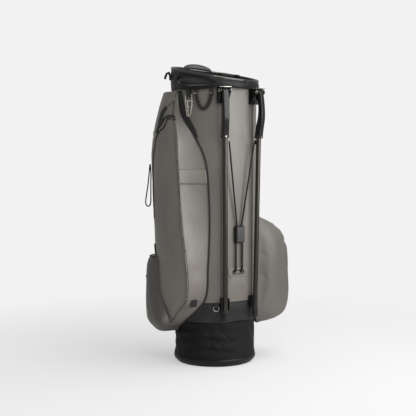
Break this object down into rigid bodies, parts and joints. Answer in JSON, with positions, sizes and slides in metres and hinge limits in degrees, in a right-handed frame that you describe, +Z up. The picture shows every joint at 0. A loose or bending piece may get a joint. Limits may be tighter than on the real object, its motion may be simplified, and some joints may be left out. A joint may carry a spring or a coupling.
{
  "type": "golf stand bag",
  "caption": "Upright golf stand bag: a round tube with a leaning base, folding front legs worked by a slider and push rods, a divided mouth and side pockets.",
  "frame": {"origin": "centre of the underside of the base, on the floor", "axes": "+Z up along the tube, -Y to the front with the folding legs, -X to the large side pocket"},
  "size_m": [0.4245, 0.3239, 0.9033],
  "materials": {
    "leather": "soft synthetic leather, satin",
    "leather_dark": "soft synthetic leather, satin",
    "boot_fabric": "woven nylon, matt",
    "moulded": "moulded nylon, satin",
    "moulded_soft": "moulded, matt",
    "webbing": "woven webbing",
    "lining": "brushed lining",
    "rubber": "matt",
    "leg_metal": "dark anodised",
    "nickel": "satin nickel",
    "wire": "black coated"
  },
  "bodies": {
    "base": {"base_sole": "rubber", "base_foot": "moulded", "base_liner_pad": "lining", "base_hinge_pin": "nickel", "boot": "boot_fabric"},
    "bag": {"tube_shell": "leather", "front_panel": "leather", "slot_patch": "leather", "apparel_pocket": "leather", "ball_pocket": "leather", "lower_pouch": "leather_dark", "hip_pad": "leather_dark", "shoulder_strap_left": "leather_dark", "shoulder_strap_right": "leather_dark", "hinge_bracket": "moulded", "collar": "moulded", "rim_bead": "moulded", "dome_handle": "moulded", "divider_frame": "moulded", "leg_bracket_left": "moulded", "leg_bracket_right": "moulded", "leg_cradle_left": "moulded", "leg_cradle_right": "moulded", "lower_frame": "moulded_soft", "d_ring_tab": "webbing", "hook_strap": "webbing", "hanging_loop": "webbing", "pocket_tab": "webbing", "strap_hook": "webbing", "divider_sheet_long": "lining", "divider_sheet_front_left": "lining", "divider_sheet_front_right": "lining", "divider_sheet_back_left": "lining", "divider_sheet_back_right": "lining", "leg_pin_left": "nickel", "leg_pin_right": "nickel", "loop_rivet_front": "nickel", "loop_rivet_back": "nickel", "stay_left": "wire", "stay_right": "wire", "stay_back": "wire"},
    "leg_left": {"leg_housing_left": "moulded", "leg_tube_left": "leg_metal", "leg_foot_left": "rubber", "rod_knob_left": "moulded"},
    "leg_right": {"leg_housing_right": "moulded", "leg_tube_right": "leg_metal", "leg_foot_right": "rubber", "rod_knob_right": "moulded"},
    "slider": {"slider": "moulded", "front_rod_left": "wire", "front_rod_right": "wire", "lift_wire": "wire"},
    "push_rod_left": {"push_rod_left": "wire"},
    "push_rod_right": {"push_rod_right": "wire"},
    "d_ring": {"d_ring": "nickel"},
    "snap_hook": {"snap_hook": "nickel"},
    "towel_loop": {"towel_loop": "webbing"},
    "apparel_pull": {"apparel_pull": "nickel"},
    "ball_pull": {"ball_pull": "nickel"}
  },
  "joints": [
    {"name": "body_lean", "type": "hinge", "parent": "base", "child": "bag", "pos_m": [0, -0.106, 0.026], "axis": [1, 0, 0], "range_deg": [0, 36], "deforming": ["boot"]},
    {"name": "leg_left_swing", "type": "hinge", "parent": "bag", "child": "leg_left", "pos_m": [-0.063, -0.136, 0.8017], "axis": [-0.9396, 0.3421, -0.0087], "range_deg": [0, 47.4]},
    {"name": "leg_right_swing", "type": "hinge", "parent": "bag", "child": "leg_right", "pos_m": [0.063, -0.136, 0.8017], "axis": [-0.9396, -0.3421, 0.0087], "range_deg": [0, 47.4]},
    {"name": "slider_slide", "type": "slide", "parent": "bag", "child": "slider", "axis": [0, 0, 1], "range_m": [0, 0.0785], "deforming": ["front_rod_left", "front_rod_right"]},
    {"name": "push_rod_left_tilt", "type": "hinge", "parent": "slider", "child": "push_rod_left", "pos_m": [-0.008, -0.1214, 0.4143], "axis": [0.9141, -0.3844, 0.1292], "range_deg": [0, 27.1]},
    {"name": "push_rod_right_tilt", "type": "hinge", "parent": "slider", "child": "push_rod_right", "pos_m": [0.008, -0.1214, 0.4143], "axis": [0.9141, 0.3844, -0.1292], "range_deg": [0, 27.1]},
    {"name": "d_ring_swing", "type": "hinge", "parent": "bag", "child": "d_ring", "pos_m": [-0.07158, -0.10612, 0.1789], "axis": [-0.829, 0.5592, 0], "range_deg": [0, 80]},
    {"name": "snap_hook_swing", "type": "hinge", "parent": "bag", "child": "snap_hook", "pos_m": [-0.12183, -0.03959, 0.7912], "axis": [-0.309, 0.9511, 0], "range_deg": [0, 80]},
    {"name": "towel_loop_swing", "type": "hinge", "parent": "bag", "child": "towel_loop", "pos_m": [-0.16629, 0.09992, 0.59124], "axis": [0.515, 0.8572, 0], "range_deg": [0, 70]},
    {"name": "apparel_pull_swing", "type": "hinge", "parent": "bag", "child": "apparel_pull", "pos_m": [-0.17149, 0.07279, 0.68825], "axis": [0.3907, 0.9205, 0], "range_deg": [0, 80]},
    {"name": "ball_pull_swing", "type": "hinge", "parent": "bag", "child": "ball_pull", "pos_m": [0.19196, 0.08951, 0.3032], "axis": [0.4226, -0.9063, 0], "range_deg": [0, 80]}
  ],
  "couplings": [
    {"joint": "leg_left_swing", "follows": "body_lean", "ratio": 1.3136},
    {"joint": "leg_right_swing", "follows": "body_lean", "ratio": 1.3136},
    {"joint": "slider_slide", "follows": "body_lean", "m_per_rad": 0.12468},
    {"joint": "push_rod_left_tilt", "follows": "body_lean", "ratio": 0.74941},
    {"joint": "push_rod_right_tilt", "follows": "body_lean", "ratio": 0.74941}
  ]
}
